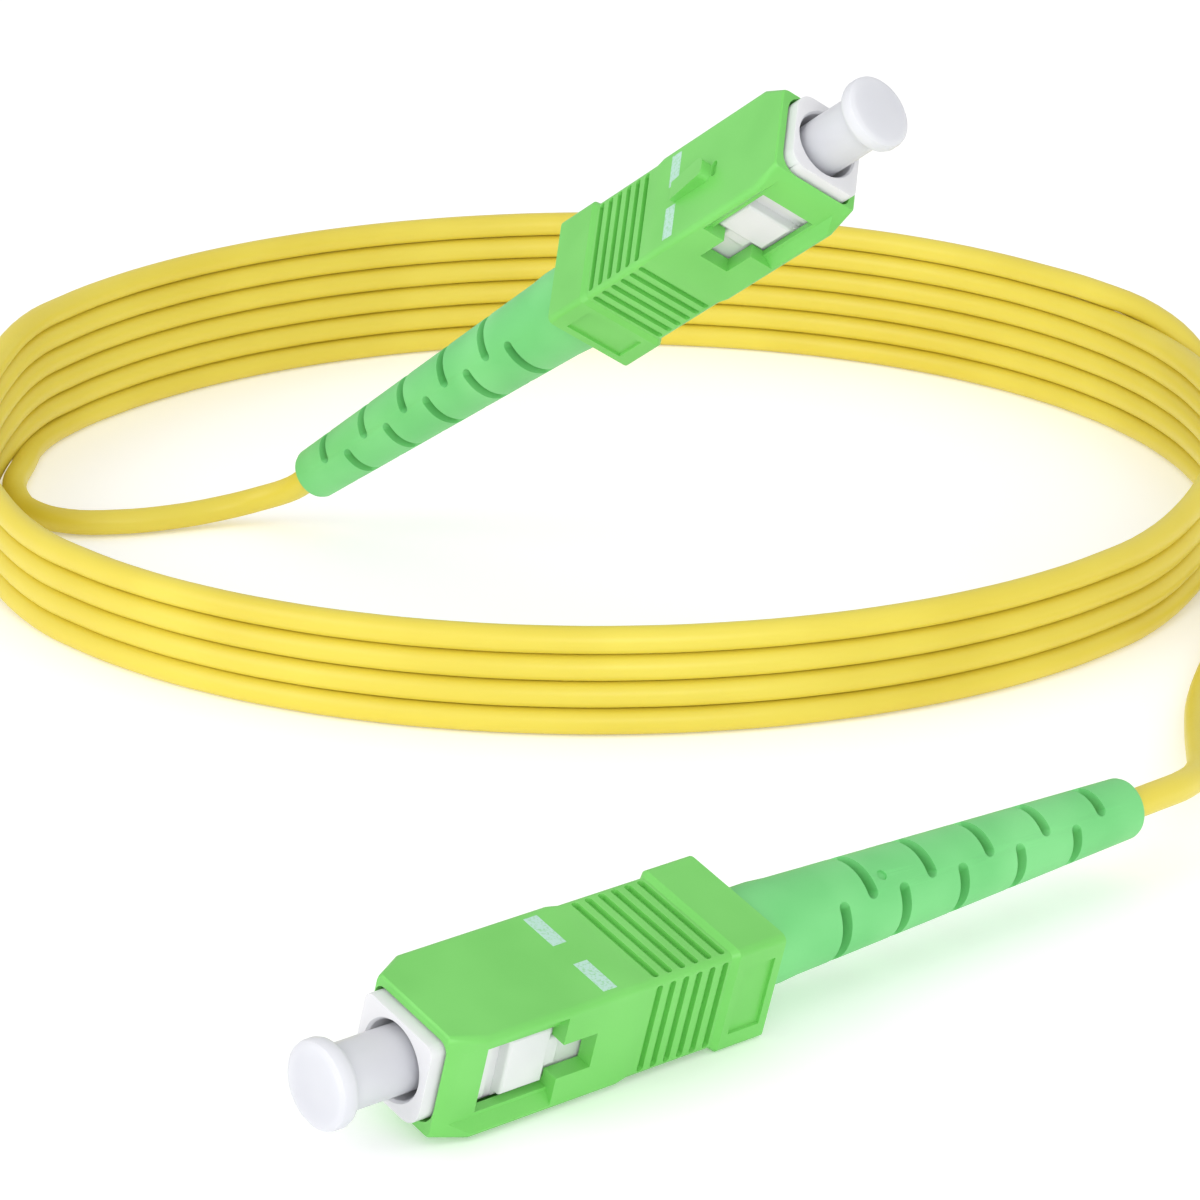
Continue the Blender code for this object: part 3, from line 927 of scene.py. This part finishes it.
    def add_marks(self, place: Matrix, plug: Plug) -> None:
        """Print two short marks on each wide face, one on each side of the key's line.

        Args:
            place: The plug's matrix.
            plug: Which end of the cord it is on.
        """
        front, back, inner, outer = self.mark
        sunk, proud, edge = self.film
        marks = []
        for face in (-1, 1):
            height = face * self.half_height
            for side in (-1, 1):
                mark = add_block("mark", ((-back, -front), (side * inner, side * outer),
                                          (height - face * sunk, height + face * proud)))
                with editing(mark, "EDGE"):
                    bpy.ops.mesh.select_all(action="SELECT")
                    bpy.ops.mesh.bevel(offset=edge * MM, segments=1)
                marks.append(mark)
        ink = join_pieces(marks)
        ink.name = ink.data.name = f"white_marks_{plug.value}"
        self.wardrobe.dress(ink, PALE_INK)
        lay(ink, place, f"housing_{plug.value}", None)


@dataclass
class PlugFrame:
    """White inner body: rounder on the key side, stepped bore, latch ridge, valley and pad."""

    wardrobe: Wardrobe
    front: float = 0.9
    rear: float = -19.0
    half_width: float = 3.15
    half_height: float = 2.95
    corners: tuple[float, float] = (1.3, 0.6)
    corner_flats: int = 6
    edge: float = 0.12
    bore: float = 2.45
    # how far in the bore's lead-in starts and ends, and how much wider it starts
    lead_in: tuple[float, float] = (0.2, 0.3)
    # ring inside the bore that the ferrule's flange rests on: front, rear and hole radius
    shoulder: tuple[float, float, float] = (-6.0, -7.2, 1.6)
    # side valley for the latch hook: front, rear, depth, and half height of its tool
    valley: tuple[float, float, float, float] = (-3.9, -4.8, 0.38, 4.0)
    # latch pad and its tail on each side: front, rear, height and half width
    pads: tuple[tuple[float, float, float, float], ...] = (
        (-4.8, -8.0, 0.45, 2.0), (-7.0, -8.95, 0.3, 1.1))
    pad_root: float = 0.3
    pad_round: float = 0.22

    def add_latch(self, body: bpy.types.Object, side: int) -> None:
        """Join the latch pads on one side and cut the valley before them.

        Args:
            body: The frame's mesh object.
            side: -1 or 1, along Y.
        """
        for front, back, height, half in self.pads:
            outer = side * (self.half_width + height)
            pad = add_block("pad_tool", ((back, front), (side * (self.half_width - self.pad_root), outer),
                                         (-half, half)))
            round_edges(pad, self.pad_round, 4,
                        lambda a, b, outer=outer: max(abs(a.y - outer), abs(b.y - outer)) < NEAR)
            carve(body, pad, "UNION")
        front, back, depth, half = self.valley
        carve(body, add_block("valley_tool", ((back, front), (side * (self.half_width - depth),
                                                              side * (self.half_width + CLEAR)),
                                              (-half, half))))

    def build(self, place: Matrix, plug: Plug) -> None:
        """Model, dress and lay the frame.

        Args:
            place: The plug's matrix.
            plug: Which end of the cord it is on.
        """
        end = plug.value
        section = (self.half_width, self.half_height)
        body = rounded_bar(f"plug_body_{end}", [(self.front, *section), (self.rear, *section)],
                           *self.corners, self.corner_flats)
        for side in (-1, 1):
            self.add_latch(body, side)
        front, back, hole = self.shoulder
        carve(body, turn("bore_tool", [(self.front + CLEAR, self.bore), (front, self.bore), (front, hole),
                                       (back, hole), (back, self.bore), (self.rear - CLEAR, self.bore)]))
        run, wider = self.lead_in
        carve(body, turn("lead_in_tool", [(self.front + run, self.bore + wider),
                                          (self.front - run, self.bore)]))
        soften(body, self.edge)
        self.wardrobe.dress(body, WHITE_PBT)
        lay(body, place, "cord_set", f"plug_frame_{end}")


@dataclass
class Boot:
    """Tapered strain relief with pairs of slots, each pair a quarter turn from the last."""

    wardrobe: Wardrobe
    front: float = -24.2
    tail: float = -60.0
    big_radius: float = 3.25
    tail_radius: float = 2.05
    bore: float = 1.3
    edge: float = 0.06
    corners: int = 72
    # end of the straight collar, then where the step behind it ends and how deep it is
    collar_end: float = -28.0
    step: tuple[float, float] = (-29.5, 0.12)
    # rounding of the tail: (from the tail's end, under the tail's radius)
    tail_round: tuple[tuple[float, float], ...] = ((0.35, 0.0), (0.1, 0.1), (0.0, 0.35))
    # inside, from the cord's bore forward to the room for the crimp ring: (x, radius)
    hollow: tuple[tuple[float, float], ...] = ((-35.0, 1.3), (-33.4, 1.7), (-29.6, 1.7), (-28.4, 2.8))
    # slots: how many stations, the first one's place, their pitch, width, arc and round ends
    slot_stations: int = 10
    first_slot: float = -32.0
    pitch: float = 2.62
    slot_width: float = 0.85
    slot_arc: float = 118.0
    slot_round: float = 0.38
    # the wedge that cuts a slot: its radius, how far its point is from the axis, and the least length of
    # the edges that round the slot's ends
    wedge_radius: float = 4.5
    wedge_point: float = 0.55
    wedge_edge: float = 3.0
    # round mould mark: place, lean about the axis, radius, and the middle of its tool
    dimple: tuple[float, float, float, float] = (-36.35, -24.0, 0.36, -3.68)

    def slot_tool(self) -> bpy.types.Object:
        """Cut one wedge from a disc and copy it to every slot.

        Returns:
            One object with all the wedges.
        """
        bpy.ops.mesh.primitive_cylinder_add(vertices=48, radius=self.wedge_radius * MM,
                                            depth=self.slot_width * MM, location=(0, 0, 0),
                                            rotation=(0, QUARTER, 0))
        wedge = new_piece("slot_tool")
        half = math.radians(self.slot_arc / 2)
        with editing(wedge):
            for side in (-1, 1):
                bpy.ops.mesh.select_all(action="SELECT")
                bpy.ops.mesh.bisect(plane_co=(0, self.wedge_point * MM, 0),
                                    plane_no=(0, -math.sin(half), side * math.cos(half)),
                                    use_fill=True, clear_outer=True)
        round_edges(wedge, self.slot_round, 4, lambda a, b: (a - b).length > self.wedge_edge)
        wedges = []
        for station in range(self.slot_stations):
            place = self.first_slot * MM - (station * self.pitch + self.slot_width / 2) * MM
            for side in (0, math.pi):
                spin = Matrix.Rotation(QUARTER * (station % 2) + side, 4, "X")
                wedges.append(copy_piece(wedge, "wedge", Matrix.Translation((place, 0, 0)) @ spin))
        bpy.data.objects.remove(wedge, do_unlink=True)
        return join_pieces(wedges)

    def dimple_tool(self) -> bpy.types.Object:
        """Make the tool for the mould mark on the plain side.

        Returns:
            A short round pin.
        """
        x, lean, radius, middle = self.dimple
        bpy.ops.mesh.primitive_cylinder_add(vertices=24, radius=radius * MM, depth=2 * CLEAR * MM,
                                            location=(x * MM, 0, middle * MM))
        pin = new_piece("dimple_tool")
        pin.data.transform(Matrix.Rotation(math.radians(lean), 4, "X"))
        return pin

    def build(self, place: Matrix, plug: Plug) -> None:
        """Model, dress and lay the boot.

        Args:
            place: The plug's matrix.
            plug: Which end of the cord it is on.
        """
        end = plug.value
        step_end, step_depth = self.step
        rings = [(self.front, self.big_radius), (self.collar_end, self.big_radius),
                 (step_end, self.big_radius - step_depth)]
        rings += [(self.tail + inwards, self.tail_radius - under) for inwards, under in self.tail_round]
        rings += [(self.tail, self.bore), *self.hollow, (self.front, self.hollow[-1][1])]
        boot = turn(f"boot_skin_{end}", rings, self.corners, tube=True)
        carve(boot, self.slot_tool())
        carve(boot, self.dimple_tool())
        soften(boot, self.edge, segments=2, sharper_than=38.0)
        self.wardrobe.dress(boot, MINT_TPE)
        lay(boot, place, "cord_set", f"boot_{end}")


@dataclass
class FerruleSpring:
    """Spring behind the ferrule's flange: a wound wire that is shorter when the ferrule is pressed."""

    wardrobe: Wardrobe
    front: float = -10.95
    back: float = -15.95
    mean_radius: float = 1.8
    wire_radius: float = 0.24
    turns: int = 5
    steps_per_turn: int = 24
    pressed_share: float = 0.868

    def build(self, place: Matrix, plug: Plug) -> None:
        """Wind, dress and lay the spring.

        Args:
            place: The plug's matrix.
            plug: Which end of the cord it is on.
        """
        end = plug.value
        bpy.ops.mesh.primitive_circle_add(vertices=12, radius=self.wire_radius * MM, fill_type="NOTHING",
                                          location=(self.front * MM, self.mean_radius * MM, 0))
        spring = new_piece(f"spring_wire_{end}")
        apply_modifier(spring, "SCREW", axis="X", screw_offset=(self.back - self.front) / self.turns * MM,
                       iterations=self.turns, steps=self.steps_per_turn, render_steps=self.steps_per_turn)
        with editing(spring, "EDGE"):
            bpy.ops.mesh.select_all(action="SELECT")
            bpy.ops.mesh.fill_holes(sides=0)
            face_outwards()
        shade(spring, 50.0)
        self.wardrobe.dress(spring, SPRING_STEEL)
        lay(spring, place, "cord_set", f"ferrule_spring_{end}")
        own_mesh(spring)


@dataclass
class DustCap:
    """Milky cap: a sleeve over the ferrule with a round grip."""

    wardrobe: Wardrobe
    corners: int = 72
    # outside, from the grip's front face to the sleeve's mouth: (x, radius)
    outside: tuple[tuple[float, float], ...] = (
        (6.5, 2.2), (6.46, 2.48), (6.3, 2.68), (6.05, 2.75), (5.6, 2.75), (5.35, 2.66), (5.15, 2.42),
        (4.95, 2.14), (4.7, 2.05), (-4.6, 2.05), (-4.8, 1.9))
    # inside, from the mouth to the blind end
    inside: tuple[tuple[float, float], ...] = ((-4.8, 1.42), (3.0, 1.42), (3.5, 0.4))

    def build(self, place: Matrix, plug: Plug) -> None:
        """Model, dress and lay the cap.

        Args:
            place: The plug's matrix.
            plug: Which end of the cord it is on.
        """
        end = plug.value
        cap = turn(f"cap_skin_{end}", self.outside + self.inside, self.corners)
        shade(cap, 32.0)
        self.wardrobe.dress(cap, MILKY_PE)
        lay(cap, place, f"cap_{end}", f"dust_cap_{end}")


# ---- the cord ----------------------------------------------------------------------------------------
def ease(angle: float, start: float, end: float) -> float:
    """Rise smoothly from 0 to 1 between two angles.

    Args:
        angle: Where on the lap, in degrees.
        start: Where the rise starts.
        end: Where it ends.

    Returns:
        0 before the start, 1 after the end, and a smooth share between.
    """
    share = min(1.0, max(0.0, (angle - start) / (end - start)))
    return share * share * (3 - 2 * share)


@dataclass
class Cord:
    """One jacketed cord: from the rear plug's boot into the coil, and out to the front plug's boot."""

    wardrobe: Wardrobe
    diameter: float = 2.0
    coil_radius: float = 49.6
    points_per_turn: int = 48
    laps: int = 5
    last_angle: float = 168.0
    boot_tail: float = -60.0
    # where the cord's first two points lie from the boot's tail: inside it and just outside
    boot_points: tuple[float, float] = (1.0, -0.9)
    # angles on a lap between which a strand changes its place
    leaving: tuple[float, float] = (156, 176)
    slipping: tuple[float, float] = (184, 214)
    under: tuple[float, float] = (-36, -4)
    over: tuple[float, float] = (14, 38)
    climb: tuple[float, float] = (-7, 22)
    # room between the wall and the lead that climbs it
    climb_gap: float = 0.25
    # leads, from each boot to the coil, from the coil's centre
    lead_a: tuple[tuple[float, float, float], ...] = (
        (-24.0, -3.4, 3.4), (-26.6, -2.3, 2.2), (-29.8, -2.4, 1.4), (-33.6, -3.7, 1.1),
        (-37.8, -4.8, 1.05), (-41.8, -4.6, 1.05), (-44.8, -2.2, 1.05), (-46.4, 1.6, 1.05),
        (-47.0, 5.4, 1.05))
    lead_b: tuple[tuple[float, float, float], ...] = (
        (36.4, -74.4, 4.9), (38.8, -71.3, 4.6), (40.3, -66.8, 3.9), (41.0, -61.0, 2.9),
        (41.6, -55.0, 2.0), (42.8, -46.0, 1.25), (45.2, -36.0, 1.05), (48.4, -25.0, 1.05),
        (51.0, -14.0, 1.05), (52.0, -4.0, 1.05))

    def strand(self, angle: float) -> Vector:
        """Find a strand's middle on the coil.

        The front plug's lead climbs the wall's outside on the right and lies down on top. Each lap then
        lies one strand lower at the back. On the left the lowest strand leaves inwards to the rear
        plug, the next slips inside the wall for the front half, and the rest sink as they go; on the
        right that one goes back under the others.

        Args:
            angle: Degrees round the coil from the first lap, anticlockwise from +X.

        Returns:
            The point in millimetres from the coil's centre.
        """
        high, radius = self.diameter, self.coil_radius
        lap = math.floor((angle + 90) / 360)
        around = angle - 360 * lap
        height = high / 2 + high * (self.laps - lap)
        leaving = QUARTER * ease(around, *self.leaving)
        slipping = QUARTER * ease(around, *self.slipping)
        under = QUARTER * (1 - ease(around, *self.under)) if lap else 0.0
        if lap == self.laps:
            radius -= high * (math.sin(leaving) + math.sin(under))
        else:
            height -= high * (2 - math.cos(leaving) - math.cos(slipping) + 1 - math.cos(under))
            if lap == self.laps - 1:
                height += high * (1 - math.cos(slipping))
                radius -= high * math.sin(slipping)
        if lap == 0:
            over = QUARTER * (1 - ease(around, *self.over))
            rise = 1 - ease(around, *self.climb)
            radius += high * math.sin(over) + self.climb_gap * rise
            height -= high * (1 - math.cos(over)) + high * (self.laps - 1) * rise
        bearing = math.radians(angle)
        return Vector((radius * math.cos(bearing), radius * math.sin(bearing), height))

    def route(self, rear: Matrix, front: Matrix) -> list[Vector]:
        """Work out the cord's route.

        Args:
            rear: The rear plug's matrix.
            front: The front plug's matrix.

        Returns:
            Points in metres, from inside the rear plug's boot to inside the front plug's.
        """
        step = 360 / self.points_per_turn
        last = self.laps * 360 + self.last_angle
        coil = [self.strand(last - step * index) for index in range(int(last / step) + 1)]
        inside = [(self.boot_tail + ahead) * MM for ahead in self.boot_points]
        points = [rear @ Vector((x, 0, 0)) for x in inside]
        points += [(Vector(point) + COIL_CENTRE) * MM for point in self.lead_a]
        points += [(point + COIL_CENTRE) * MM for point in coil]
        points += [(Vector(point) + COIL_CENTRE) * MM for point in reversed(self.lead_b)]
        return points + [front @ Vector((x, 0, 0)) for x in reversed(inside)]

    def build(self, rear: Matrix, front: Matrix) -> None:
        """Args:
            rear: The rear plug's matrix.
            front: The front plug's matrix.
        """
        points = self.route(rear, front)
        curve = bpy.data.curves.new("cord_jacket", "CURVE")
        curve.dimensions = "3D"
        curve.bevel_depth = self.diameter / 2 * MM
        curve.bevel_resolution = 5
        curve.use_fill_caps = True
        curve.resolution_u = 4
        spline = curve.splines.new("BEZIER")
        spline.bezier_points.add(len(points) - 1)
        for knot, point in zip(spline.bezier_points, points):
            knot.co = point
            knot.handle_left_type = knot.handle_right_type = "AUTO"
        jacket = bpy.data.objects.new("cord_jacket", curve)
        bpy.context.collection.objects.link(jacket)
        self.wardrobe.dress(jacket, YELLOW_PVC)
        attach(jacket, "cord_set")
        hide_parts("cord_lead_a", "cord_coil", "cord_lead_b")


# ---- studio ------------------------------------------------------------------------------------------
@dataclass(frozen=True)
class Panel:
    """A soft light panel that faces the origin: place and size in metres, power in watts."""

    name: str
    place: tuple[float, float, float]
    size: float
    power: float


@dataclass
class Studio:
    """Pale floor, soft light and the camera."""

    # floor: side in metres, how far under the cord, size of its faint clouds, and its own light
    floor_size: float = 4.0
    floor_drop: float = 0.03
    floor_clouds: float = 60.0
    floor_glow: float = 0.2
    sky: float = 0.74
    panels: tuple[Panel, ...] = (Panel("panel_top", (0.3, -0.25, 0.75), 0.7, 0.6),
                                 Panel("panel_left", (-0.7, -0.4, 0.45), 0.6, 2.4),
                                 Panel("panel_front", (0.1, -0.9, 0.25), 0.5, 3.0))
    # camera: angle above the floor, distance, moves right and down, lens and sensor width
    elevation: float = 18.98
    distance: float = 400.0
    right: float = 0.19
    down: float = 6.72
    lens: float = 150.6
    sensor: float = 36.0
    clip: tuple[float, float] = (0.01, 20.0)

    def lay_floor(self) -> None:
        """Add a plain pale floor just under the cord."""
        bpy.ops.mesh.primitive_plane_add(size=self.floor_size, location=(0, 0, -self.floor_drop * MM))
        floor = new_piece("floor")
        made, tree, shader = start_material("pale_paper_sweep")
        colour = add_node(tree, "ShaderNodeValToRGB", tones("F8F8F8", "FAFAFA"),
                          {"Fac": pattern(tree, self.floor_clouds, 1.0)})
        feed_shader(tree, shader, Base_Color=colour.outputs["Color"])
        set_shader(shader, Roughness=0.9, Specular_IOR_Level=0.1, Emission_Strength=self.floor_glow,
                   Emission_Color=(1.0, 1.0, 1.0, 1.0))
        floor.data.materials.append(made)

    def add_lights(self) -> None:
        """Add a bright even sky and the soft panels."""
        world = bpy.data.worlds.new("white_room")
        world.use_nodes = True
        sky = world.node_tree.nodes["Background"]
        sky.inputs["Color"].default_value = (1, 1, 1, 1)
        sky.inputs["Strength"].default_value = self.sky
        bpy.context.scene.world = world
        for panel in self.panels:
            light = bpy.data.lights.new(panel.name, "AREA")
            light.shape, light.size, light.energy = "SQUARE", panel.size, panel.power
            lamp = bpy.data.objects.new(panel.name, light)
            bpy.context.collection.objects.link(lamp)
            lamp.location = panel.place
            lamp.rotation_euler = (-Vector(panel.place)).to_track_quat("-Z", "Y").to_euler()

    def add_camera(self) -> None:
        """Set the camera: level, looking down at the coil a little from above."""
        tilt = math.radians(self.elevation)
        back = Vector((0, -math.cos(tilt), math.sin(tilt)))
        up = Vector((0, math.sin(tilt), math.cos(tilt)))
        lens = bpy.data.cameras.new("camera")
        lens.sensor_width = self.sensor
        lens.lens = self.lens
        lens.clip_start, lens.clip_end = self.clip
        camera = bpy.data.objects.new("camera", lens)
        bpy.context.collection.objects.link(camera)
        aim = COIL_CENTRE + Vector((self.right, 0, 0)) - self.down * up
        camera.location = (aim + self.distance * back) * MM
        camera.rotation_euler = (-back).to_track_quat("-Z", "Y").to_euler()
        bpy.context.scene.camera = camera

    def build(self) -> None:
        """Set up the whole studio."""
        self.lay_floor()
        self.add_lights()
        self.add_camera()
        bpy.context.scene.view_settings.view_transform = "Standard"


def dress_frame_nodes(wardrobe: Wardrobe) -> None:
    """Give the CAD nodes that stay their finishes.

    Args:
        wardrobe: Where the materials are kept.
    """
    for name, node in frame["nodes"].items():
        kind = name.rsplit("_", 1)[0]
        if kind in NODE_FINISHES:
            wardrobe.dress(node, NODE_FINISHES[kind])
            log.info("%s: %s", name, NODE_FINISHES[kind].name)


def main() -> None:
    """Build the studio, the cord and both plugs."""
    logging.basicConfig(level=logging.INFO, format="%(message)s")
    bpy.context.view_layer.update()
    wardrobe = Wardrobe()
    Studio().build()
    places = {plug: PlugPlace(plug).matrix() for plug in Plug}
    Cord(wardrobe).build(places[Plug.REAR], places[Plug.FRONT])
    for plug, place in places.items():
        for maker in (OuterHousing, PlugFrame, FerruleSpring, Boot, DustCap):
            maker(wardrobe).build(place, plug)
    dress_frame_nodes(wardrobe)


if __name__ == "__main__":
    main()
